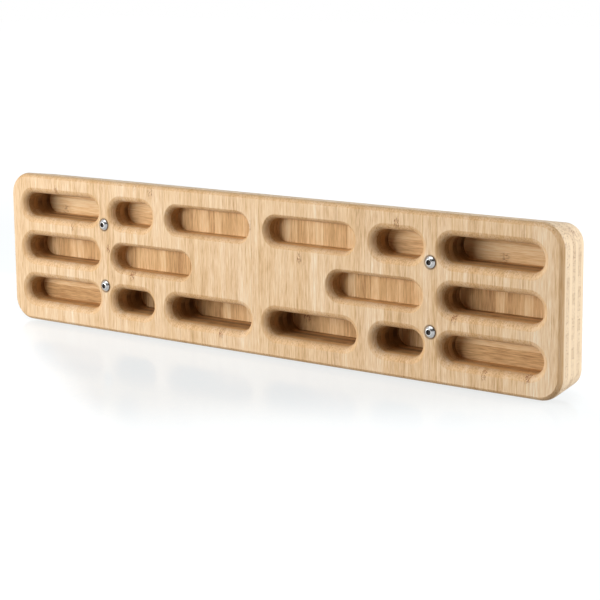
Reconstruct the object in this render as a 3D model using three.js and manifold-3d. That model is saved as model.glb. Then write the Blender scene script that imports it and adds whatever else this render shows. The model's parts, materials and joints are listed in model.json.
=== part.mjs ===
import * as THREE from 'three';
import { mergeVertices } from 'three/addons/utils/BufferGeometryUtils.js';
import Module from 'manifold-3d';

// A wall hangboard for climbers, in millimetres. The block is glued up from bamboo plies whose
// grain runs upright and lengthwise in turn. Finger pockets with rounded rims are milled into the
// front, in three rows that mirror about the middle. Four button-head screws hold it to the wall.
// The origin is the middle of the back face. X runs along the board, Z is up, the front is at -Y.

// Plies
const PLY_COUNT = 7;
const PLY_THICKNESS = 6;

// Rows of pockets, from the top down, between the margins above and below them
const TOP_MARGIN = 20.5;
const BOTTOM_MARGIN = 21.5;
const ROW_WEB = 19.5;
const POCKET_HEIGHT = 23;

// Columns of pockets, from the middle out to the end of the board
const CENTRE_WEB = 22.5;
const CENTRE_POCKET_LENGTH = 97;
const DEEP_POCKET_LENGTH = 98.5;
const INNER_WEB = 22.25;
const SHORT_POCKET_LENGTH = 49.5;
const OUTER_WEB = 21;
const OUTER_POCKET_LENGTH = 98.5;
const END_MARGIN = 20.5;
const MIDDLE_POCKET_LENGTH = 97;
const MIDDLE_WEB = 21.75;

// How far a pocket's floor lies below the front of the ply that it ends in
const FLOOR_BITE = 5;
const DEEP_FLOOR_BITE = 3;

// Edges: the sides lean in towards the wall by the draft
const SIDE_DRAFT = 6;
const CORNER_RADIUS = 23;
const BACK_EDGE_CHAMFER = 1;

// Roundings. One cutter makes them all, set shallow, so that they meet the face in a crisp line and
// run smoothly into the wall. Their widths, measured on the face: the board's own edge, the mouths
// of the shallow pockets, and the mouths of all the others.
const CUTTER_RADIUS = 8;
const OUTER_ROUNDING = 4.5;
const NARROW_RIM = 4;
const WIDE_RIM = 6;

// Screws: M6 button heads with a hexagon socket, their heads proud of the face and their shanks
// ending inside the block
const SCREW_MIDDLE_Z = 1.25;
const SCREW_SPACING_Z = 60;
const SHANK_DIAMETER = 6;
const SHANK_LENGTH = 40;
const SHANK_TIP_CHAMFER = 1;
const SHANK_CLEARANCE = 0.3;
const HEAD_DIAMETER = 10.5;
const HEAD_HEIGHT = 3.3;
const HEAD_EDGE_HEIGHT = 0.7;
const SOCKET_ACROSS_FLATS = 4;
const SOCKET_SIDES = 6;
const SOCKET_DEPTH = 2;

// Overrun of a cutter past the face that it opens
const OVERRUN = 2;

// Facets
const CORNER_STEPS = 10;
const POCKET_END_STEPS = 8;
const ROUNDING_STEPS = 4;
const SCREW_SEGMENTS = 24;
const DOME_STEPS = 4;

// Share of a ply within which a point counts as lying on the ply's face
const FLATTEN_SHARE = 1e-5;

// Sizes that follow
const BOARD_DEPTH = PLY_COUNT * PLY_THICKNESS;
const HALF_LENGTH = CENTRE_WEB / 2 + CENTRE_POCKET_LENGTH + INNER_WEB + SHORT_POCKET_LENGTH
  + OUTER_WEB + OUTER_POCKET_LENGTH + END_MARGIN;
const BOARD_HEIGHT = TOP_MARGIN + 3 * POCKET_HEIGHT + 2 * ROW_WEB + BOTTOM_MARGIN;
const ROW_PITCH = POCKET_HEIGHT + ROW_WEB;
const TOP_ROW_Z = BOARD_HEIGHT / 2 - TOP_MARGIN - POCKET_HEIGHT / 2;
const MIDDLE_ROW_Z = TOP_ROW_Z - ROW_PITCH;
const BOTTOM_ROW_Z = MIDDLE_ROW_Z - ROW_PITCH;

// Middles of the columns on the right-hand half
const CENTRE_X = CENTRE_WEB / 2 + CENTRE_POCKET_LENGTH / 2;
const SHORT_X = CENTRE_WEB / 2 + CENTRE_POCKET_LENGTH + INNER_WEB + SHORT_POCKET_LENGTH / 2;
const OUTER_X = HALF_LENGTH - END_MARGIN - OUTER_POCKET_LENGTH / 2;
const OUTER_COLUMN_START = OUTER_X - OUTER_POCKET_LENGTH / 2;
const MIDDLE_X = OUTER_COLUMN_START - MIDDLE_WEB - MIDDLE_POCKET_LENGTH / 2;
const SCREW_X = OUTER_COLUMN_START - OUTER_WEB / 2;

// Depth of a pocket whose floor lies in the given ply, counted from 1 at the front
const floorDepth = (ply, bite) => (ply - 1) * PLY_THICKNESS + bite;

// Pockets of the right-hand half: middle, length, depth and rounding of the mouth
const pocket = (x, z, length, depth, rim) => ({ x, z, length, depth, rim });
const POCKETS = [
  pocket(OUTER_X, TOP_ROW_Z, OUTER_POCKET_LENGTH, floorDepth(6, FLOOR_BITE), WIDE_RIM),
  pocket(OUTER_X, MIDDLE_ROW_Z, OUTER_POCKET_LENGTH, floorDepth(5, FLOOR_BITE), WIDE_RIM),
  pocket(OUTER_X, BOTTOM_ROW_Z, OUTER_POCKET_LENGTH, floorDepth(4, FLOOR_BITE), WIDE_RIM),
  pocket(SHORT_X, TOP_ROW_Z, SHORT_POCKET_LENGTH, floorDepth(4, FLOOR_BITE), WIDE_RIM),
  pocket(SHORT_X, BOTTOM_ROW_Z, SHORT_POCKET_LENGTH, floorDepth(7, DEEP_FLOOR_BITE), WIDE_RIM),
  pocket(MIDDLE_X, MIDDLE_ROW_Z, MIDDLE_POCKET_LENGTH, floorDepth(3, FLOOR_BITE), NARROW_RIM),
  pocket(CENTRE_X, TOP_ROW_Z, CENTRE_POCKET_LENGTH, floorDepth(3, FLOOR_BITE), NARROW_RIM),
  pocket(CENTRE_X, BOTTOM_ROW_Z, DEEP_POCKET_LENGTH, floorDepth(7, DEEP_FLOOR_BITE), WIDE_RIM),
];

const wasm = await Module();
wasm.setup();

// Y of a depth below the front face
const yAt = (depth) => depth - BOARD_DEPTH;

// Points of an arc in the XZ plane, anticlockwise as seen from the front
function arc(x, z, radius, start, sweep, steps) {
  const points = [];
  for (let step = 0; step <= steps; step += 1) {
    const angle = start + sweep * step / steps;
    points.push([x + radius * Math.cos(angle), z + radius * Math.sin(angle)]);
  }
  return points;
}

// Outline of the board: a rectangle with round corners about the origin
function boardOutline(length, height, radius) {
  const corners = [[1, 1], [-1, 1], [-1, -1], [1, -1]];
  return corners.flatMap(([sideX, sideZ], corner) => {
    const x = sideX * (length / 2 - radius);
    const z = sideZ * (height / 2 - radius);
    return arc(x, z, radius, corner * Math.PI / 2, Math.PI / 2, CORNER_STEPS);
  });
}

// Outline of a pocket: two straight sides between half rounds, the whole drawn out by the flare
function pocketOutline(x, z, length, flare) {
  const radius = POCKET_HEIGHT / 2 + flare;
  const reach = (length - POCKET_HEIGHT) / 2;
  const right = arc(x + reach, z, radius, -Math.PI / 2, Math.PI, POCKET_END_STEPS);
  const left = arc(x - reach, z, radius, Math.PI / 2, Math.PI, POCKET_END_STEPS);
  return [...right, ...left];
}

// A closed solid through rings of points, listed from the front to the back
function loft(rings) {
  const count = rings[0].points.length;
  const positions = [];
  const triangles = [];
  rings.forEach(({ points, y }) => points.forEach(([x, z]) => positions.push(x, y, z)));
  for (let ring = 0; ring < rings.length - 1; ring += 1) {
    for (let i = 0; i < count; i += 1) {
      const near = ring * count + i;
      const nearNext = ring * count + (i + 1) % count;
      triangles.push(near, near + count, nearNext);
      triangles.push(nearNext, near + count, nearNext + count);
    }
  }
  const last = (rings.length - 1) * count;
  for (let i = 1; i < count - 1; i += 1) {
    triangles.push(0, i, i + 1);
    triangles.push(last, last + i + 1, last + i);
  }
  const geometry = new THREE.BufferGeometry();
  geometry.setAttribute('position', new THREE.Float32BufferAttribute(positions, 3));
  geometry.setIndex(triangles);
  return geometry;
}

function toSolid(geometry) {
  const bare = geometry.clone();
  bare.deleteAttribute('normal');
  bare.deleteAttribute('uv');
  const merged = mergeVertices(bare);
  const vertProperties = new Float32Array(merged.attributes.position.array);
  const triVerts = new Uint32Array(merged.index.array);
  return new wasm.Manifold(new wasm.Mesh({ numProp: 3, vertProperties, triVerts }));
}

function fromSolid(solid) {
  const { vertProperties, triVerts } = solid.getMesh();
  const geometry = new THREE.BufferGeometry();
  geometry.setAttribute('position', new THREE.Float32BufferAttribute(vertProperties, 3));
  geometry.setIndex(new THREE.Uint32BufferAttribute(triVerts, 1));
  const faceted = geometry.toNonIndexed();
  faceted.computeVertexNormals();
  return faceted;
}

// Steps of a rounding from the face to the wall: how far it stands off the wall, and how deep it
// lies. It is no wider than the cutter's radius.
function rounding(width) {
  const turn = Math.acos(1 - Math.min(width / CUTTER_RADIUS, 1));
  const reach = CUTTER_RADIUS * Math.sin(turn);
  const steps = [];
  for (let step = 0; step <= ROUNDING_STEPS; step += 1) {
    const angle = turn * (1 - step / ROUNDING_STEPS);
    const inset = CUTTER_RADIUS * (1 - Math.cos(angle));
    steps.push({ inset, depth: reach - CUTTER_RADIUS * Math.sin(angle) });
  }
  return steps;
}

// The block's outline at a depth, drawn in by the draft there and by any further inset
function boardRing(depth, inset) {
  const total = SIDE_DRAFT * depth / BOARD_DEPTH + inset;
  const radius = Math.max(CORNER_RADIUS - total, 0);
  const length = 2 * (HALF_LENGTH - total);
  const height = BOARD_HEIGHT - 2 * total;
  return { y: yAt(depth), points: boardOutline(length, height, radius) };
}

// The glued block before its pockets are milled, rounded at the front and chamfered at the back
function blockBlank() {
  const rings = rounding(OUTER_ROUNDING).map(({ inset, depth }) => boardRing(depth, inset));
  rings.push(boardRing(BOARD_DEPTH - BACK_EDGE_CHAMFER, 0));
  rings.push(boardRing(BOARD_DEPTH, BACK_EDGE_CHAMFER));
  return loft(rings);
}

// The layer of the block that is one ply, reaching out past its sides
function plyLayer(index) {
  const length = 2 * (HALF_LENGTH + OVERRUN);
  const layer = new THREE.BoxGeometry(length, PLY_THICKNESS, BOARD_HEIGHT + 2 * OVERRUN);
  layer.translate(0, yAt(index * PLY_THICKNESS) + PLY_THICKNESS / 2, 0);
  return layer;
}

// The space of one pocket, with its flared mouth, reaching out past the front face
function pocketCutter({ x, z, length, depth, rim }, side) {
  const ring = (at, flare) => ({ y: yAt(at), points: pocketOutline(side * x, z, length, flare) });
  const rings = [ring(-OVERRUN, rim)];
  rounding(rim).forEach((step) => rings.push(ring(step.depth, step.inset)));
  rings.push(ring(depth, 0));
  return loft(rings);
}

// A clearance hole through the whole block
function screwHole(x, z) {
  const radius = SHANK_DIAMETER / 2 + SHANK_CLEARANCE;
  const length = BOARD_DEPTH + 2 * OVERRUN;
  const hole = new THREE.CylinderGeometry(radius, radius, length, SCREW_SEGMENTS);
  hole.translate(x, -BOARD_DEPTH / 2, z);
  return hole;
}

// Rounding of the cuts is taken off the ply's two faces, so that the plies meet face to face
function flatten(geometry, planes) {
  const position = geometry.attributes.position;
  for (let i = 0; i < position.count; i += 1) {
    planes.forEach((plane) => {
      if (Math.abs(position.getY(i) - plane) < PLY_THICKNESS * FLATTEN_SHARE) position.setY(i, plane);
    });
  }
  return geometry;
}

// A button-head screw on the Y axis, its head's underside at y = 0 and its tip towards +Y
function screwGeometry() {
  const headRadius = HEAD_DIAMETER / 2;
  const shankRadius = SHANK_DIAMETER / 2;
  const rise = HEAD_HEIGHT - HEAD_EDGE_HEIGHT;
  const domeRadius = (headRadius ** 2 + rise ** 2) / (2 * rise);
  const domeAngle = Math.asin(headRadius / domeRadius);
  const profile = [new THREE.Vector2(0, -HEAD_HEIGHT)];
  for (let step = 1; step <= DOME_STEPS; step += 1) {
    const angle = domeAngle * step / DOME_STEPS;
    const drop = domeRadius * (1 - Math.cos(angle));
    profile.push(new THREE.Vector2(domeRadius * Math.sin(angle), drop - HEAD_HEIGHT));
  }
  profile.push(new THREE.Vector2(headRadius, 0));
  profile.push(new THREE.Vector2(shankRadius, 0));
  profile.push(new THREE.Vector2(shankRadius, SHANK_LENGTH - SHANK_TIP_CHAMFER));
  profile.push(new THREE.Vector2(shankRadius - SHANK_TIP_CHAMFER, SHANK_LENGTH));
  profile.push(new THREE.Vector2(0, SHANK_LENGTH));
  const blank = toSolid(new THREE.LatheGeometry(profile, SCREW_SEGMENTS));
  const socketRadius = SOCKET_ACROSS_FLATS / 2 / Math.cos(Math.PI / SOCKET_SIDES);
  const socketLength = SOCKET_DEPTH + OVERRUN;
  const socket = new THREE.CylinderGeometry(socketRadius, socketRadius, socketLength, SOCKET_SIDES);
  socket.translate(0, (SOCKET_DEPTH - OVERRUN) / 2 - HEAD_HEIGHT, 0);
  return fromSolid(blank.subtract(toSolid(socket)));
}

const uprightBamboo = new THREE.MeshStandardMaterial({ color: 0xe2bf90, roughness: 0.55, metalness: 0 });
const lengthwiseBamboo = new THREE.MeshStandardMaterial({ color: 0xc99d68, roughness: 0.6, metalness: 0 });
const stainless = new THREE.MeshStandardMaterial({ color: 0xc8c9cb, roughness: 0.25, metalness: 1 });

const hangboard = new THREE.Group();

// The four screws, named as seen from the front
const screws = [];
[['upper', 1], ['lower', -1]].forEach(([level, up]) => {
  [['left', -1], ['right', 1]].forEach(([hand, side]) => {
    const place = { x: side * SCREW_X, z: SCREW_MIDDLE_Z + up * SCREW_SPACING_Z / 2 };
    screws.push({ name: `screw_${level}_${hand}`, ...place });
  });
});

// Everything that is milled or drilled out of the block
const cutters = screws.map(({ x, z }) => toSolid(screwHole(x, z)));
POCKETS.forEach((shape) => {
  cutters.push(toSolid(pocketCutter(shape, -1)));
  cutters.push(toSolid(pocketCutter(shape, 1)));
});

function plyName(index) {
  if (index === 0) return 'face_ply';
  if (index === PLY_COUNT - 1) return 'back_ply';
  return `core_ply_${index}`;
}

let block = toSolid(blockBlank());
cutters.forEach((cutter) => { block = block.subtract(cutter); });

for (let index = 0; index < PLY_COUNT; index += 1) {
  const solid = block.intersect(toSolid(plyLayer(index)));
  const planes = [yAt(index * PLY_THICKNESS), yAt((index + 1) * PLY_THICKNESS)];
  const material = index % 2 === 0 ? uprightBamboo : lengthwiseBamboo;
  const ply = new THREE.Mesh(flatten(fromSolid(solid), planes), material);
  ply.name = plyName(index);
  hangboard.add(ply);
}

const screwShape = screwGeometry();
screws.forEach(({ name, x, z }) => {
  const screw = new THREE.Mesh(screwShape, stainless);
  screw.name = name;
  screw.position.set(x, -BOARD_DEPTH, z);
  hangboard.add(screw);
});

export default hangboard;
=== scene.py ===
import json
import math

import bmesh
import bpy
from mathutils import Matrix, Vector
from mathutils.geometry import tessellate_polygon


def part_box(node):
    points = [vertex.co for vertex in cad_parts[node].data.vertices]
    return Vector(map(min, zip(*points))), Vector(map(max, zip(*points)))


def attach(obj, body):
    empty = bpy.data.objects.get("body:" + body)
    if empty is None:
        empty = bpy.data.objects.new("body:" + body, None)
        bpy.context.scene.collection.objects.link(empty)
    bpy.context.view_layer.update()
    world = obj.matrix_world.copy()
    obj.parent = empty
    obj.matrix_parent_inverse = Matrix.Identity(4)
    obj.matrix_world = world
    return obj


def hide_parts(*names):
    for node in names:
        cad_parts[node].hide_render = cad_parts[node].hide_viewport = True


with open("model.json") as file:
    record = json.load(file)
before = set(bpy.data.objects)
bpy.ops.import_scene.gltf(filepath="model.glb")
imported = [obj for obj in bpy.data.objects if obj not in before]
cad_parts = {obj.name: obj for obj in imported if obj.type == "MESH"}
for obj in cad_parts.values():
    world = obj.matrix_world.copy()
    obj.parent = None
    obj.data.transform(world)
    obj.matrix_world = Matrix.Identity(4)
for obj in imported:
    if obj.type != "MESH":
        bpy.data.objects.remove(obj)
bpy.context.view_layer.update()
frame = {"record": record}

# A wall hangboard of bamboo plies with milled finger pockets and four button-head screws. Each CAD
# node is replaced by a finer piece of the same size. Lengths are in metres. X runs along the board,
# Z is up, the front face is towards -Y, and the origin is in the middle of the back face.
MM = 0.001

# Plies, from the front to the back
PLIES = ["face_ply", *(f"core_ply_{number}" for number in range(1, 6)), "back_ply"]
PLY_THICKNESS = 6 * MM
BOARD_DEPTH = PLY_THICKNESS * len(PLIES)

# The block. Its sides lean in towards the back by the draft.
BOARD_LENGTH = 640 * MM
BOARD_HEIGHT = 150 * MM
SIDE_DRAFT = 6 * MM
CORNER_RADIUS = 23 * MM
BACK_EDGE_CHAMFER = 1 * MM

# Roundings, all made by one cutter that is set shallow, so that they meet the face in a crisp line
CUTTER_RADIUS = 8 * MM
OUTER_ROUNDING = 4.5 * MM
NARROW_RIM = 4 * MM
WIDE_RIM = 6 * MM

# The pockets
POCKET_HEIGHT = 23 * MM
FLOOR_FILLET = 0.9 * MM
TOP_ROW, MIDDLE_ROW, BOTTOM_ROW = 43 * MM, 0.5 * MM, -42 * MM

# Middle, length, depth and rim of each pocket on the right-hand half; the left mirrors it
POCKETS = [
    (250.25 * MM, TOP_ROW, 98.5 * MM, 35 * MM, WIDE_RIM),
    (250.25 * MM, MIDDLE_ROW, 98.5 * MM, 29 * MM, WIDE_RIM),
    (250.25 * MM, BOTTOM_ROW, 98.5 * MM, 23 * MM, WIDE_RIM),
    (155.25 * MM, TOP_ROW, 49.5 * MM, 23 * MM, WIDE_RIM),
    (155.25 * MM, BOTTOM_ROW, 49.5 * MM, 39 * MM, WIDE_RIM),
    (130.75 * MM, MIDDLE_ROW, 97 * MM, 17 * MM, NARROW_RIM),
    (59.75 * MM, TOP_ROW, 97 * MM, 17 * MM, NARROW_RIM),
    (59.75 * MM, BOTTOM_ROW, 98.5 * MM, 39 * MM, WIDE_RIM),
]

# The screws: M6 button heads, their socket chamfered at the mouth and pointed at the bottom
SHANK_HOLE_RADIUS = 3.3 * MM
SHANK_RADIUS = 3 * MM
SHANK_LENGTH = 40 * MM
HEAD_RADIUS = 5.25 * MM
HEAD_HEIGHT = 3.3 * MM
HEAD_EDGE_HEIGHT = 0.7 * MM
SOCKET_ACROSS_FLATS = 4 * MM
SOCKET_DEPTH = 2 * MM
SOCKET_CHAMFER = 0.25 * MM
SOCKET_POINT = 0.5 * MM
TIP_CHAMFER = 1 * MM
MOUTH_RADIUS = SOCKET_ACROSS_FLATS / 2 / math.cos(math.pi / 6) + SOCKET_CHAMFER

# Fineness of the meshes. A flat ring as wide as the floor edge lies round each pocket's floor, so
# that the fillet's shading ends there. Steeper edges than the smooth angle are creased.
CORNER_STEPS = 20
POCKET_END_STEPS = 28
ROUNDING_STEPS = 12
FILLET_STEPS = 9
HOLE_STEPS = 32
SCREW_STEPS = 48
DOME_STEPS = 10
FLOOR_EDGE = 0.4 * MM
SMOOTH_ANGLE = math.radians(12)


def front_y(depth):
    """Y of a depth below the front face."""
    return depth - BOARD_DEPTH


def arc(x, z, radius, start, sweep, steps):
    """Points of an arc in the XZ plane."""
    angles = [start + sweep * step / steps for step in range(steps + 1)]
    return [(x + radius * math.cos(angle), z + radius * math.sin(angle)) for angle in angles]


def circle(x, z, radius, steps):
    """Points of a circle, none of them twice."""
    return arc(x, z, radius, 0, 2 * math.pi * (steps - 1) / steps, steps - 1)


def hexagon(x, z, across_flats, steps):
    """Points along a hexagon, at even angles, so that they pair up with a circle's."""
    outline = []
    for step in range(steps):
        angle = 2 * math.pi * step / steps
        off = (angle + math.pi / 6) % (math.pi / 3) - math.pi / 6
        radius = across_flats / 2 / math.cos(off)
        outline.append((x + radius * math.cos(angle), z + radius * math.sin(angle)))
    return outline


def board_outline(depth, inset):
    """The block's outline at a depth below the front, drawn in by the draft and a further inset."""
    total = SIDE_DRAFT * depth / BOARD_DEPTH + inset
    radius = CORNER_RADIUS - total
    reach_x = BOARD_LENGTH / 2 - CORNER_RADIUS
    reach_z = BOARD_HEIGHT / 2 - CORNER_RADIUS
    corners = [(1, 1), (-1, 1), (-1, -1), (1, -1)]
    outline = []
    for turn, (side_x, side_z) in enumerate(corners):
        middle = (side_x * reach_x, side_z * reach_z)
        outline += arc(*middle, radius, turn * math.pi / 2, math.pi / 2, CORNER_STEPS)
    return outline


def pocket_outline(x, z, length, flare):
    """A pocket's outline, two straight sides between half rounds, drawn out by the flare."""
    radius = POCKET_HEIGHT / 2 + flare
    reach = (length - POCKET_HEIGHT) / 2
    right = arc(x + reach, z, radius, -math.pi / 2, math.pi, POCKET_END_STEPS)
    left = arc(x - reach, z, radius, math.pi / 2, math.pi, POCKET_END_STEPS)
    return right + left


def rounding(width, front, back):
    """Depth and stand-off of each ring that a rounding and its wall need between two depths."""
    turn = math.acos(1 - width / CUTTER_RADIUS)
    reach = CUTTER_RADIUS * math.sin(turn)
    angles = [turn * (1 - step / ROUNDING_STEPS) for step in range(ROUNDING_STEPS + 1)]
    depths = [reach - CUTTER_RADIUS * math.sin(angle) for angle in angles]
    rings = []
    for depth in [front, *(depth for depth in depths if front < depth < back), back]:
        left = max(reach - depth, 0)
        rings.append((depth, CUTTER_RADIUS - math.sqrt(CUTTER_RADIUS ** 2 - left ** 2)))
    return rings


def add_object(name, data):
    """A new object in the scene."""
    made = bpy.data.objects.new(name, data)
    bpy.context.scene.collection.objects.link(made)
    return made


class Shell:
    """A closed surface that is put together from rings of points."""

    def __init__(self):
        self.points = []
        self.faces = []

    def ring(self, outline, y):
        """The indices of an outline's points, added at the given Y."""
        start = len(self.points)
        self.points += [(x, y, z) for x, z in outline]
        return range(start, len(self.points))

    def loft(self, rings):
        """Faces from each ring to the next."""
        for near, far in zip(rings, rings[1:]):
            for i in range(len(near)):
                j = (i + 1) % len(near)
                self.faces.append((near[i], near[j], far[j], far[i]))

    def cap(self, outer, holes=()):
        """A flat face within the outer ring and outside the holes."""
        loops = [outer, *holes]
        corners = [[Vector(self.points[i]) for i in loop] for loop in loops]
        order = [i for loop in loops for i in loop]
        for triangle in tessellate_polygon(corners):
            self.faces.append(tuple(order[i] for i in triangle))

    def finish(self, name):
        """The shell as a piece with its faces turned outwards."""
        mesh = bpy.data.meshes.new(name)
        mesh.from_pydata(self.points, [], self.faces)
        shape = bmesh.new()
        shape.from_mesh(mesh)
        bmesh.ops.recalc_face_normals(shape, faces=shape.faces)
        shape.to_mesh(mesh)
        shape.free()
        mesh.polygons.foreach_set("use_smooth", [True] * len(mesh.polygons))
        mesh.set_sharp_from_angle(angle=SMOOTH_ANGLE)
        return add_object(name, mesh)


def screw_places():
    """Name and middle of each screw, measured on its CAD solid."""
    places = []
    for level in ("upper", "lower"):
        for hand in ("left", "right"):
            name = f"screw_{level}_{hand}"
            low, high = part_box(name)
            places.append((name, (low.x + high.x) / 2, (low.z + high.z) / 2))
    return places


SCREWS = screw_places()


def mill(shell, pocket, front, back):
    """A pocket's walls within one ply. Gives the loops that it opens in the front and the back."""
    x, z, length, depth, rim = pocket
    if depth <= front:
        return None, None

    def ring(at, flare):
        return shell.ring(pocket_outline(x, z, length, flare), front_y(at))

    if depth >= back:
        rings = [ring(*step) for step in rounding(rim, front, back)]
        shell.loft(rings)
        return rings[0], rings[-1]
    rings = [ring(*step) for step in rounding(rim, front, depth - FLOOR_FILLET)]
    for step in range(1, FILLET_STEPS + 1):
        angle = math.pi / 2 * step / FILLET_STEPS
        rise = FLOOR_FILLET * (1 - math.sin(angle))
        rings.append(ring(depth - rise, -FLOOR_FILLET * (1 - math.cos(angle))))
    rings.append(ring(depth, -FLOOR_FILLET - FLOOR_EDGE))
    shell.loft(rings)
    shell.cap(rings[-1])
    return rings[0], None


def make_ply(index):
    """One ply, with its share of the block's sides, the pockets and the screw holes."""
    front = index * PLY_THICKNESS
    back = front + PLY_THICKNESS
    last = index == len(PLIES) - 1
    shell = Shell()
    end = back - BACK_EDGE_CHAMFER if last else back
    steps = rounding(OUTER_ROUNDING, front, end)
    rings = [shell.ring(board_outline(*step), front_y(step[0])) for step in steps]
    if last:
        rings.append(shell.ring(board_outline(back, BACK_EDGE_CHAMFER), front_y(back)))
    shell.loft(rings)
    front_holes = []
    back_holes = []
    for x, z, length, depth, rim in POCKETS:
        for side in (-1, 1):
            opened, left = mill(shell, (side * x, z, length, depth, rim), front, back)
            if opened is not None:
                front_holes.append(opened)
            if left is not None:
                back_holes.append(left)
    for _, x, z in SCREWS:
        hole = circle(x, z, SHANK_HOLE_RADIUS, HOLE_STEPS)
        ends = [shell.ring(hole, front_y(at)) for at in (front, back)]
        shell.loft(ends)
        front_holes.append(ends[0])
        back_holes.append(ends[1])
    shell.cap(rings[0], front_holes)
    shell.cap(rings[-1], back_holes)
    return shell.finish(PLIES[index].replace("ply", "bamboo"))


def make_screw(name, x, z):
    """A screw from its socket's point, over the dome of its head, to the tip of its shank."""
    shell = Shell()
    rise = HEAD_HEIGHT - HEAD_EDGE_HEIGHT
    dome_radius = (HEAD_RADIUS ** 2 + rise ** 2) / (2 * rise)
    top = front_y(0) - HEAD_HEIGHT

    def dome_y(radius):
        return top + dome_radius - math.sqrt(dome_radius ** 2 - radius ** 2)

    socket = hexagon(x, z, SOCKET_ACROSS_FLATS, SCREW_STEPS)
    floor_y = top + SOCKET_DEPTH
    tip = front_y(0) + SHANK_LENGTH
    point = shell.ring([(x, z)], floor_y + SOCKET_POINT)[0]
    rings = [
        shell.ring(socket, floor_y),
        shell.ring(socket, dome_y(MOUTH_RADIUS) + SOCKET_CHAMFER),
    ]
    for step in range(DOME_STEPS + 1):
        radius = MOUTH_RADIUS + (HEAD_RADIUS - MOUTH_RADIUS) * step / DOME_STEPS
        rings.append(shell.ring(circle(x, z, radius, SCREW_STEPS), dome_y(radius)))
    profile = [
        (HEAD_RADIUS, front_y(0)),
        (SHANK_RADIUS, front_y(0)),
        (SHANK_RADIUS, tip - TIP_CHAMFER),
        (SHANK_RADIUS - TIP_CHAMFER, tip),
    ]
    for radius, y in profile:
        rings.append(shell.ring(circle(x, z, radius, SCREW_STEPS), y))
    shell.loft(rings)
    first = rings[0]
    for i in range(SCREW_STEPS):
        shell.faces.append((point, first[i], first[(i + 1) % SCREW_STEPS]))
    shell.faces.append(tuple(rings[-1]))
    return shell.finish(name.replace("screw", "bolt"))


class Nodes:
    """A node tree that is written as expressions."""

    def __init__(self, tree):
        self.tree = tree
        tree.nodes.clear()

    def put(self, socket, value):
        """Links a socket to another one, or sets it to a constant."""
        if isinstance(value, bpy.types.NodeSocket):
            self.tree.links.new(value, socket)
        else:
            socket.default_value = value

    def node(self, kind, output=0, inputs=(), **settings):
        """Adds a node and gives one of its outputs."""
        made = self.tree.nodes.new("ShaderNode" + kind)
        for key, value in settings.items():
            setattr(made, key, value)
        for key, value in dict(inputs).items():
            self.put(made.inputs[key], value)
        return made.outputs[output]

    def math(self, operation, *values):
        return self.node("Math", 0, enumerate(values), operation=operation)

    def add(self, *values):
        total = values[0]
        for value in values[1:]:
            total = self.math("ADD", total, value)
        return total

    def times(self, *values):
        total = values[0]
        for value in values[1:]:
            total = self.math("MULTIPLY", total, value)
        return total

    def rest(self, value):
        """What is left of 1."""
        return self.math("SUBTRACT", 1.0, value)

    def swing(self, value, reach):
        """A value from 0 to 1, turned to one that swings about 0."""
        return self.math("MULTIPLY_ADD", value, reach, -reach / 2)

    def remap(self, value, low, high, to_low=0.0, to_high=1.0, kind="SMOOTHSTEP"):
        inputs = {"Value": value, "From Min": low, "From Max": high}
        inputs.update({"To Min": to_low, "To Max": to_high})
        return self.node("MapRange", 0, inputs, interpolation_type=kind)

    def blend(self, share, first, second):
        """A number that runs from the first to the second as the share goes from 0 to 1."""
        return self.remap(share, 0.0, 1.0, first, second, "LINEAR")

    def mix(self, share, first, second):
        """The same for a colour."""
        return self.node("Mix", 2, {0: share, 6: first, 7: second}, data_type="RGBA")

    def ramp(self, value, stops):
        made = self.tree.nodes.new("ShaderNodeValToRGB")
        elements = made.color_ramp.elements
        while len(elements) < len(stops):
            elements.new(0.5)
        for element, (position, color) in zip(elements, stops):
            element.position = position
            element.color = color
        self.put(made.inputs[0], value)
        return made.outputs[0]

    def split(self, vector):
        made = self.tree.nodes.new("ShaderNodeSeparateXYZ")
        self.put(made.inputs[0], vector)
        return made.outputs

    def vector(self, *parts):
        return self.node("CombineXYZ", 0, enumerate(parts))

    def length(self, *parts):
        return self.node("VectorMath", 1, {0: self.vector(*parts)}, operation="LENGTH")

    def scale(self, vector, factor):
        return self.node("VectorMath", 0, {0: vector, 3: factor}, operation="SCALE")

    def noise(self, vector, detail, roughness=0.5):
        inputs = {"Vector": vector, "Scale": 1.0, "Detail": detail, "Roughness": roughness}
        return self.node("TexNoise", 0, inputs)

    def seen(self):
        """1 for what the camera sees, also in metal or glass, and 0 for the light on the object."""
        path = self.tree.nodes.new("ShaderNodeLightPath").outputs
        seen = self.math("MAXIMUM", path["Is Camera Ray"], path["Is Glossy Ray"])
        return self.math("MAXIMUM", seen, path["Is Transmission Ray"])


class Look(Nodes):
    """A material with one shader."""

    def __init__(self, name):
        self.material = bpy.data.materials.new(name)
        self.material.use_nodes = True
        super().__init__(self.material.node_tree)
        output = self.tree.nodes.new("ShaderNodeOutputMaterial")
        self.shader = self.tree.nodes.new("ShaderNodeBsdfPrincipled")
        self.tree.links.new(self.shader.outputs["BSDF"], output.inputs["Surface"])

    def finish(self, inputs):
        """Sets the shader's inputs and gives the material."""
        for key, value in inputs.items():
            self.put(self.shader.inputs[key], value)
        return self.material


def rgb(red, green, blue):
    """A colour written as sRGB bytes, as linear values."""
    linear = []
    for byte in (red, green, blue):
        share = byte / 255
        linear.append(share / 12.92 if share <= 0.04045 else ((share + 0.055) / 1.055) ** 2.4)
    return (*linear, 1.0)


def from_screws(look, x, z):
    """Distance from the axis of the nearest screw. The four lie mirrored about two lines."""
    reach = max(place for _, place, _ in SCREWS)
    low, high = min(place for _, _, place in SCREWS), max(place for _, _, place in SCREWS)
    off_x = look.math("SUBTRACT", look.math("ABSOLUTE", x), reach)
    level = look.math("ABSOLUTE", look.math("SUBTRACT", z, (low + high) / 2))
    off_z = look.math("SUBTRACT", level, (high - low) / 2)
    return look.length(off_x, 0.0, off_z)


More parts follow.
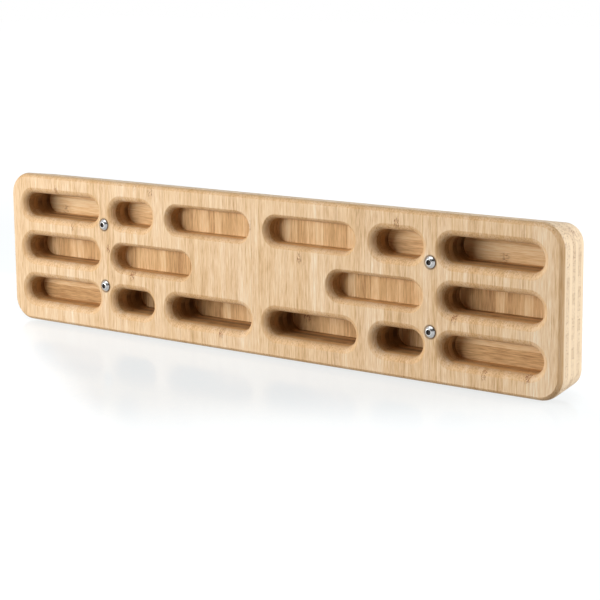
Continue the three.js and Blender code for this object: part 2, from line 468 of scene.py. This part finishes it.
# Bamboo: the tones of the face and of the plies below it, from the darkest to the palest
FACE_TONES = [
    (0.0, rgb(190, 150, 103)),
    (0.35, rgb(230, 195, 153)),
    (0.65, rgb(246, 217, 181)),
    (1.0, rgb(255, 240, 215)),
]
CORE_TONES = [
    (0.0, rgb(174, 130, 84)),
    (0.35, rgb(215, 173, 122)),
    (0.65, rgb(236, 197, 147)),
    (1.0, rgb(248, 219, 175)),
]
WARM_TONE = rgb(232, 192, 134)
# Painted light: the pale tone of the block's brightly lit sides
SIDE_LIGHT_TONE = rgb(255, 236, 206)
# Painted shade: the golden-brown tint of the rims
RIM_SHADE_TONE = rgb(214, 160, 92)
# Painted shade, with some scorch from the cutter: the dark brown of the pocket walls
WALL_SCORCH_AND_SHADE_TONE = rgb(104, 72, 46)
END_GRAIN_TONE = rgb(82, 58, 38)
FIBRE_TONE = rgb(146, 98, 56)
NODE_TONE = rgb(134, 72, 40)
GLUE_TONE = rgb(104, 66, 36)
SHADE_TONE = rgb(74, 46, 26)

# The strips that a ply is glued up from, and the joints between them, as a share of their width
FACE_STRIP_WIDTH, FACE_STRIP_CONTRAST = 5 * MM, 0.2
CORE_STRIP_WIDTH, CORE_STRIP_CONTRAST = 9 * MM, 0.62
STRIP_JITTER = 0.8
JOINT_SHARE = 0.05
PLY_SEED = 17.3

# Grain. Each pattern has the width and length of its marks, a shift that keeps it apart from the
# others, and the noise's detail and roughness.
DASHES = (0.95 * MM, 14 * MM, 0.0, 3.0, 0.6)
STREAKS = (2.2 * MM, 60 * MM, 3.0, 2.0, 0.5)
BANDS = (12 * MM, 260 * MM, 5.0, 2.0, 0.5)
PATCHES = (38 * MM, 80 * MM, 9.0, 2.0, 0.5)
SPECKS = (1.1 * MM, 2.6 * MM, 20.0, 3.0, 0.7)
SPECK_RANGE = (0.45, 0.6)

# Fibre bundles: width, length and shift, and how far a bundle reaches out from its middle
BUNDLES = (1.6 * MM, 60 * MM, 7.0)
BUNDLE_EDGE = (0.12, 0.42)

# How far the grain wanders sideways, and over what: cycles per metre across it and along it
SWAY = 1.5 * MM
SWAY_ACROSS, SWAY_ALONG = 14.0, 9.0
SWAY_DETAIL = 1.0

# How far each pattern of the grain moves the tone
DASH_SWING, STREAK_SWING, BAND_SWING, PATCH_SWING = 1.45, 0.6, 0.55, 0.5

# Nodes of the cane
NODE_SPACING = 260 * MM
NODE_HALF_HEIGHT = 7.5 * MM
NODE_SWAY = 6 * MM

# Where the surface lies. Its flatness is 1 where it faces the front or the back, and 0 where it
# stands at right angles to them. End grain shows where it faces along the grain. The skin is how
# near the block's outer sides a point has to lie to count as on them.
WALL_FLATNESS = (0.1, 0.97)
SIDE_FLATNESS = (0.2, 0.6)
RIM_FLATNESS = (0.955, 0.985)
END_GRAIN_FACING = (0.05, 0.7)
WALL_DEPTHS = (8 * MM, 32 * MM)
SKIN = 0.5 * MM
GLUE_LINE = 0.22 * MM
# Painted shade: width of the dark ring round the screw heads
SCREW_SHADE_WIDTH = 2 * MM

# How far each feature pulls the colour over to its tone
WARM_SHARE = 0.22
FIBRE_ALONG, FIBRE_ACROSS = 0.1, 0.5
RIM_SHADE_SHARE = 0.28
WALL_SHALLOW, WALL_DEEP, WALL_LEVEL = 0.14, 0.86, 0.25
CUT_SHALLOW, CUT_DEEP, CUT_LEVEL = 0.35, 0.7, 0.65
SIDE_LIGHT_SHARE = 0.8
SAWN_FIBRE, SAWN_STRIP = 0.6, 0.3
MARK_HUES, MARK_FAINT = (0.6, 0.95), 0.08
JOINT_PLACES, JOINT_FAINT, FACE_JOINT, CORE_JOINT = (0.4, 1.0), 0.06, 0.3, 0.5
GLUE_INSIDE, GLUE_OUTSIDE = 0.14, 0.3
SCREW_SHADE_SHARE = 0.85

# Surface: roughness follows the streaks, and relief follows dashes, fibres and joints
ROUGHNESS_STREAKS = (0.2, 0.8)
ROUGHNESS_LOW, ROUGHNESS_HIGH = 0.46, 0.62
WOOD_SPECULAR = 0.14
DASH_RELIEF, FIBRE_RELIEF, JOINT_RELIEF = 0.6, -0.4, -0.25
WOOD_BUMP, WOOD_BUMP_HEIGHT = 0.3, 0.15 * MM


def bamboo(name, upright, index):
    """The bamboo of one ply, whose grain stands upright or runs along the board."""
    look = Look(name)
    on_face = index == 0
    x, y, z = look.split(look.node("TexCoord", "Object"))
    across, along = (x, z) if upright else (z, x)
    seed = PLY_SEED * (index + 1)
    strip_width = FACE_STRIP_WIDTH if on_face else CORE_STRIP_WIDTH
    strip_contrast = FACE_STRIP_CONTRAST if on_face else CORE_STRIP_CONTRAST

    # Each strip of the ply has a tone, a hue and a place for its nodes
    strip_place = look.add(look.math("DIVIDE", across, strip_width), seed)
    strip_inputs = {"W": strip_place, "Scale": 1.0, "Randomness": STRIP_JITTER}
    strip_color = look.node("TexVoronoi", "Color", strip_inputs, voronoi_dimensions="1D")
    strip_tone, node_place, strip_hue = look.split(strip_color)
    edge = look.node("TexVoronoi", "Distance", strip_inputs, voronoi_dimensions="1D",
                     feature="DISTANCE_TO_EDGE")
    joint = look.remap(edge, 0.0, JOINT_SHARE, 1.0, 0.0)

    # Fibres run along the grain and wander a little
    swayed = look.vector(look.times(across, SWAY_ACROSS), y, look.times(along, SWAY_ALONG))
    sway = look.noise(swayed, SWAY_DETAIL)
    line = look.add(across, look.swing(sway, SWAY))

    def stretched(width, length, shift):
        depth = look.add(look.math("DIVIDE", y, width), seed + shift)
        return look.vector(look.math("DIVIDE", line, width), depth,
                           look.math("DIVIDE", along, length))

    def drawn(width, length, shift, detail, roughness):
        return look.noise(stretched(width, length, shift), detail, roughness)

    dashes = drawn(*DASHES)
    streaks = drawn(*STREAKS)
    bundle_inputs = {"Vector": stretched(*BUNDLES), "Scale": 1.0, "Randomness": 1.0}
    bundle = look.node("TexVoronoi", "Distance", bundle_inputs)
    fibre = look.remap(bundle, *BUNDLE_EDGE, 1.0, 0.0)

    # Where the surface lies: on the block's outer sides, on a pocket's wall, across the grain
    normal = look.split(look.node("NewGeometry", "Normal"))
    beyond_x = look.math("SUBTRACT", look.math("ABSOLUTE", x), BOARD_LENGTH / 2 - CORNER_RADIUS)
    beyond_z = look.math("SUBTRACT", look.math("ABSOLUTE", z), BOARD_HEIGHT / 2 - CORNER_RADIUS)
    corner = look.length(look.math("MAXIMUM", beyond_x, 0.0), 0.0,
                         look.math("MAXIMUM", beyond_z, 0.0))
    drafted = look.math("MULTIPLY_ADD", y, SIDE_DRAFT / BOARD_DEPTH, SIDE_DRAFT)
    outward = look.add(corner, drafted)
    outside = look.remap(outward, CORNER_RADIUS - 2 * SKIN, CORNER_RADIUS - SKIN)
    flatness = look.math("ABSOLUTE", normal[1])
    wall = look.times(look.remap(flatness, *WALL_FLATNESS, 1.0, 0.0), look.rest(outside))
    side = look.times(look.remap(flatness, *SIDE_FLATNESS, 1.0, 0.0), outside)
    rim = look.remap(flatness, *RIM_FLATNESS, 1.0, 0.0)
    level = look.math("ABSOLUTE", normal[2])
    end_grain = look.remap(level if upright else look.math("ABSOLUTE", normal[0]),
                           *END_GRAIN_FACING)
    deep = look.remap(y, *map(front_y, WALL_DEPTHS))

    tone = look.add(
        0.5,
        look.swing(strip_tone, strip_contrast),
        look.swing(dashes, DASH_SWING),
        look.swing(streaks, STREAK_SWING),
        look.swing(drawn(*BANDS), BAND_SWING),
        look.swing(drawn(*PATCHES), PATCH_SWING),
    )
    color = look.ramp(tone, FACE_TONES if on_face else CORE_TONES)
    color = look.mix(look.times(strip_hue, WARM_SHARE), color, WARM_TONE)

    # Fibre bundles: faint lines along the grain, dark dots across it
    dots = look.times(fibre, look.blend(end_grain, FIBRE_ALONG, FIBRE_ACROSS))
    color = look.mix(dots, color, FIBRE_TONE)

    # The cutter has browned the walls. Painted shade darkens the rims and walls further: every rim
    # gets a golden-brown tint, and the walls darken deep down, most of all at the pockets' ends
    # Painted shade: a golden-brown tint on every rim
    color = look.mix(look.times(rim, RIM_SHADE_SHARE), color, RIM_SHADE_TONE)
    # Painted shade: the walls darken with depth, less where they face up or down
    scorch_and_shade = look.times(look.blend(deep, WALL_SHALLOW, WALL_DEEP),
                         look.blend(level, 1.0, WALL_LEVEL))
    color = look.mix(look.times(wall, scorch_and_shade), color, WALL_SCORCH_AND_SHADE_TONE)
    # Painted shade: the walls' end grain darkens more deep down
    end_grain_and_shade = look.times(look.blend(deep, CUT_SHALLOW, CUT_DEEP), look.blend(level, 1.0, CUT_LEVEL))
    color = look.mix(look.times(wall, end_grain, end_grain_and_shade), color, END_GRAIN_TONE)

    # Painted light: the block's sides are painted pale, as if brightly lit, with sawn fibres where
    # they cross the grain
    color = look.mix(look.times(side, SIDE_LIGHT_SHARE), color, SIDE_LIGHT_TONE)
    sawn = look.add(look.times(fibre, SAWN_FIBRE), look.times(strip_tone, SAWN_STRIP))
    color = look.mix(look.times(side, end_grain, sawn), color, FIBRE_TONE)

    # Nodes of the cane, marked on some of the strips
    offset = look.add(along, look.times(node_place, NODE_SPACING), look.swing(sway, NODE_SWAY))
    reach = look.math("PINGPONG", offset, NODE_SPACING / 2)
    node_band = look.remap(reach, 0.0, NODE_HALF_HEIGHT, 1.0, 0.0)
    specks = look.remap(drawn(*SPECKS), *SPECK_RANGE)
    marked = look.remap(strip_hue, *MARK_HUES, MARK_FAINT, 1.0)
    color = look.mix(look.times(node_band, specks, marked), color, NODE_TONE)

    # Joints between strips, and the glue at the ply's inner faces
    strongest = FACE_JOINT if on_face else CORE_JOINT
    joined = look.remap(node_place, *JOINT_PLACES, JOINT_FAINT, strongest)
    color = look.mix(look.times(joint, joined), color, FIBRE_TONE)
    inside = look.math("SUBTRACT", y, front_y(index * PLY_THICKNESS))
    to_front = look.add(inside, PLY_THICKNESS if on_face else 0.0)
    last = index == len(PLIES) - 1
    to_back = look.math("SUBTRACT", PLY_THICKNESS * (2 if last else 1), inside)
    glue = look.remap(look.math("MINIMUM", to_front, to_back), 0.0, GLUE_LINE, 1.0, 0.0)
    glued = look.blend(side, GLUE_INSIDE, GLUE_OUTSIDE)
    color = look.mix(look.times(glue, glued), color, GLUE_TONE)

    # Painted shade: the wood is darker right round the screw heads, where the heads' shadow falls
    if on_face:
        off = from_screws(look, x, z)
        screw_shade = look.remap(off, HEAD_RADIUS, HEAD_RADIUS + SCREW_SHADE_WIDTH, SCREW_SHADE_SHARE, 0.0)
        color = look.mix(screw_shade, color, SHADE_TONE)

    relief = look.add(look.times(dashes, DASH_RELIEF), look.times(fibre, FIBRE_RELIEF),
                      look.times(joint, JOINT_RELIEF))
    bump_inputs = {"Height": relief, "Strength": WOOD_BUMP, "Distance": WOOD_BUMP_HEIGHT}
    return look.finish({
        "Base Color": color,
        "Roughness": look.remap(streaks, *ROUGHNESS_STREAKS, ROUGHNESS_LOW, ROUGHNESS_HIGH,
                                "LINEAR"),
        "Specular IOR Level": WOOD_SPECULAR,
        "Normal": look.node("Bump", 0, bump_inputs),
    })


# Stainless steel, with marks at two scales, in cycles per metre. The land is the ring round the
# socket, painted bright as a painted highlight.
STEEL_DARK = (0.44, 0.44, 0.44, 1.0)
STEEL_LIGHT = (0.60, 0.60, 0.60, 1.0)
FINE_SCALE, FINE_DETAIL, FINE_ROUGHNESS = 2600.0, 3.0, 0.6
COARSE_SCALE, COARSE_DETAIL = 420.0, 2.0
LAND_HIGHLIGHT_TONE = (0.92, 0.92, 0.90, 1.0)
LAND_WIDTH, LAND_HIGHLIGHT_SHARE = 0.7 * MM, 0.9
# Painted shade: the dark inside of the socket
SOCKET_SHADE_TONE = (0.05, 0.04, 0.035, 1.0)
POLISH_MARKS = (0.3, 0.7)
POLISH_LOW, POLISH_HIGH = 0.17, 0.3
SOCKET_SHADE_ROUGHNESS = 0.5
STEEL_BUMP, STEEL_BUMP_HEIGHT = 0.15, 0.04 * MM


def stainless():
    """The steel of the screws."""
    look = Look("stainless")
    place = look.node("TexCoord", "Object")
    x, y, z = look.split(place)
    fine = look.noise(look.scale(place, FINE_SCALE), FINE_DETAIL, FINE_ROUGHNESS)
    coarse = look.noise(look.scale(place, COARSE_SCALE), COARSE_DETAIL)
    color = look.mix(coarse, STEEL_DARK, STEEL_LIGHT)

    # A painted highlight makes the ring round the socket bright, and painted shade makes the
    # socket's inside dark and matt
    off = from_screws(look, x, z)
    # Painted highlight: the bright ring round the socket
    land_highlight = look.remap(off, MOUTH_RADIUS, MOUTH_RADIUS + LAND_WIDTH, LAND_HIGHLIGHT_SHARE, 0.0)
    color = look.mix(land_highlight, color, LAND_HIGHLIGHT_TONE)
    in_socket = look.remap(off, MOUTH_RADIUS - SOCKET_CHAMFER, MOUTH_RADIUS, 1.0, 0.0)
    socket_shade = look.times(in_socket, look.math("LESS_THAN", y, front_y(0)))
    color = look.mix(socket_shade, color, SOCKET_SHADE_TONE)
    polish = look.remap(fine, *POLISH_MARKS, POLISH_LOW, POLISH_HIGH, "LINEAR")
    bump_inputs = {"Height": fine, "Strength": STEEL_BUMP, "Distance": STEEL_BUMP_HEIGHT}
    return look.finish({
        "Base Color": color,
        "Metallic": look.rest(socket_shade),
        "Roughness": look.math("MULTIPLY_ADD", socket_shade, SOCKET_SHADE_ROUGHNESS, polish),
        "Normal": look.node("Bump", 0, bump_inputs),
    })


slots = {part["node"]: part["material_slot"] for part in frame["record"]["subparts"]}


def stand_for(node, piece, material):
    """Puts a piece in the place of its CAD node."""
    piece.data.materials.append(material)
    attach(piece, "root")
    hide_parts(node)


for index, node in enumerate(PLIES):
    ply = make_ply(index)
    stand_for(node, ply, bamboo(ply.name, slots[node] == "bamboo_upright", index))

steel = stainless()
for node, x, z in SCREWS:
    stand_for(node, make_screw(node, x, z), steel)

# The floor. The camera sees it white, apart from the board's shadow and a faint reflection in front
# of the board. The light that it throws back on the board is dim and warm.
FLOOR_GAP = 0.3 * MM
FLOOR_Z = -BOARD_HEIGHT / 2 - FLOOR_GAP
FLOOR_HALF = 6.0
FLOOR_COLOR = (0.17, 0.17, 0.17, 1.0)
FLOOR_ROUGHNESS = 0.12
FLOOR_IOR = 1.1
FLOOR_SPECULAR = 0.5
FLOOR_BOUNCE = 0.17
BOUNCE_TINT = (1.0, 0.86, 0.68, 1.0)
SHADE_TINT = (0.97, 1.0, 1.01, 1.0)
WHITE = (1.0, 1.0, 1.0, 1.0)

# How bright the camera sees it by itself, where it is matt and where it is glossy
GLOW_MATT, GLOW_GLOSSY = 0.912, 0.722

# Where the gloss ends, in distances from the board's middle: in front, towards the first azimuth;
# to both sides, along the second; and behind
GLOSS_AZIMUTH = 38
GLOSS_START, GLOSS_END = 160 * MM, 340 * MM
BESIDE_AZIMUTH = 145
BESIDE_MIDDLE = -18 * MM
BESIDE_START, BESIDE_END = 175 * MM, 250 * MM
BEHIND_END = 150 * MM

# Where it fades into the background
FADE_START, FADE_END = 0.7, 1.6

# The light that the board gets from the room around the lamps
ROOM_STRENGTH = 0.02

# A dark card that the screw heads mirror
FLAG_AZIMUTH, FLAG_ELEVATION, FLAG_DISTANCE = 40, 42, 2.4
FLAG_WIDTH, FLAG_HEIGHT = 3.6, 2.6
FLAG_COLOR = (0.06, 0.055, 0.055, 1.0)


def direction(azimuth, elevation):
    """Towards a point that is seen from the board's front, degrees to the right and up."""
    turn, rise = math.radians(azimuth), math.radians(elevation)
    level = math.cos(rise)
    return Vector((math.sin(turn) * level, -math.cos(turn) * level, math.sin(rise)))


def flat_panel(name, half_x, half_y, z=0.0):
    """A rectangle at right angles to Z."""
    corners = [(-1, -1), (1, -1), (1, 1), (-1, 1)]
    mesh = bpy.data.meshes.new(name)
    mesh.from_pydata([(x * half_x, y * half_y, z) for x, y in corners], [], [(0, 1, 2, 3)])
    return add_object(name, mesh)


def make_floor():
    """The studio floor under the board."""
    floor = flat_panel("studio_floor", FLOOR_HALF, FLOOR_HALF, FLOOR_Z)
    look = Look("studio_floor")
    x, y, _ = look.split(look.node("TexCoord", "Object"))

    def towards(azimuth):
        """How far a point lies from the board's middle towards an azimuth."""
        ahead = direction(azimuth, 0)
        return look.add(look.times(x, ahead.x), look.times(y, ahead.y))

    in_front = look.remap(towards(GLOSS_AZIMUTH), GLOSS_START, GLOSS_END, 1.0, 0.0)
    off = look.math("ABSOLUTE", look.math("SUBTRACT", towards(BESIDE_AZIMUTH), BESIDE_MIDDLE))
    beside = look.remap(off, BESIDE_START, BESIDE_END)
    behind = look.remap(y, 0.0, BEHIND_END)
    gloss = look.times(in_front, look.rest(beside), look.rest(behind))
    far = look.remap(look.length(x, y, 0.0), FADE_START, FADE_END)
    clear = look.math("MAXIMUM", beside, far)
    seen = look.seen()
    glow = look.blend(clear, look.blend(gloss, GLOW_MATT, GLOW_GLOSSY), 1.0)
    floor.data.materials.append(look.finish({
        "Base Color": FLOOR_COLOR,
        "Roughness": FLOOR_ROUGHNESS,
        "IOR": FLOOR_IOR,
        "Specular IOR Level": look.times(gloss, FLOOR_SPECULAR),
        "Emission Color": look.mix(seen, BOUNCE_TINT, look.mix(clear, SHADE_TINT, WHITE)),
        "Emission Strength": look.blend(seen, FLOOR_BOUNCE, glow),
    }))


def make_world():
    """White to the camera, and nearly dark to the board, which the lamps light."""
    world = bpy.data.worlds.new("studio")
    bpy.context.scene.world = world
    world.use_nodes = True
    nodes = Nodes(world.node_tree)
    strength = nodes.blend(nodes.seen(), ROOM_STRENGTH, 1.0)
    back = nodes.node("Background", 0, {"Color": WHITE, "Strength": strength})
    nodes.put(nodes.tree.nodes.new("ShaderNodeOutputWorld").inputs["Surface"], back)


def soft_light(name, azimuth, elevation, distance, width, height, level, aim=(0, 0, 0)):
    """A rectangular lamp that looks at a point. Its level is the light, as a share of white, that
    a surface in the board's middle would get if the two looked straight at each other."""
    lamp = bpy.data.lights.new(name, "AREA")
    lamp.shape = "RECTANGLE"
    lamp.size = width
    lamp.size_y = height
    lamp.energy = level * math.pi * math.pi * distance ** 2
    holder = add_object(name, lamp)
    holder.location = direction(azimuth, elevation) * distance
    holder.rotation_euler = (holder.location - Vector(aim)).to_track_quat("Z", "Y").to_euler()


def make_flag():
    """A dark card, out of the picture, that only polished metal mirrors."""
    flag = flat_panel("studio_flag", FLAG_WIDTH / 2, FLAG_HEIGHT / 2)
    toward = direction(FLAG_AZIMUTH, FLAG_ELEVATION)
    flag.location = toward * FLAG_DISTANCE
    flag.rotation_euler = toward.to_track_quat("Z", "Y").to_euler()
    flag.visible_camera = False
    flag.visible_diffuse = False
    flag.visible_shadow = False
    look = Look("studio_flag")
    flag.data.materials.append(look.finish({"Base Color": FLAG_COLOR, "Roughness": 1.0}))


# The key lamp stands near and looks past the board's right end, so that its light falls evenly
make_floor()
make_world()
soft_light("key", azimuth=-30, elevation=3, distance=1.5, width=1.25, height=1.0, level=1.36,
           aim=(0.7, 0, 0))
soft_light("side", azimuth=112, elevation=14, distance=2.5, width=1.9, height=1.4, level=0.85)
soft_light("top", azimuth=0, elevation=64, distance=2.2, width=2.2, height=1.2, level=0.4)
make_flag()

# The camera, fitted to the board's outline: its direction and distance from the block's middle, its
# offsets to the right and up, and its lens
CAMERA_AZIMUTH = 38.40647
CAMERA_ELEVATION = 10.646054
CAMERA_ROLL = -0.552305
CAMERA_DISTANCE = 1732.521 * MM
CAMERA_RIGHT = 26.473585 * MM
CAMERA_UP = -24.648616 * MM
LENS = 113.568737
SENSOR_WIDTH = 36.0
CLIP_START, CLIP_END = 0.05, 50.0


def make_camera():
    """The camera of the photograph."""
    back = direction(CAMERA_AZIMUTH, CAMERA_ELEVATION)
    turn = math.radians(CAMERA_AZIMUTH)
    level = Vector((math.cos(turn), math.sin(turn), 0))
    upright = back.cross(level)
    roll = math.radians(CAMERA_ROLL)
    right = level * math.cos(roll) + upright * math.sin(roll)
    up = upright * math.cos(roll) - level * math.sin(roll)
    middle = Vector((0, -BOARD_DEPTH / 2, 0))
    place = middle + back * CAMERA_DISTANCE + right * CAMERA_RIGHT + up * CAMERA_UP
    data = bpy.data.cameras.new("camera")
    data.lens = LENS
    data.sensor_width = SENSOR_WIDTH
    data.clip_start = CLIP_START
    data.clip_end = CLIP_END
    camera = add_object("camera", data)
    axes = Matrix((right, up, back)).transposed()
    camera.matrix_world = Matrix.Translation(place) @ axes.to_4x4()
    bpy.context.scene.camera = camera


make_camera()
bpy.context.scene.view_settings.view_transform = "Standard"

bpy.context.view_layer.update()
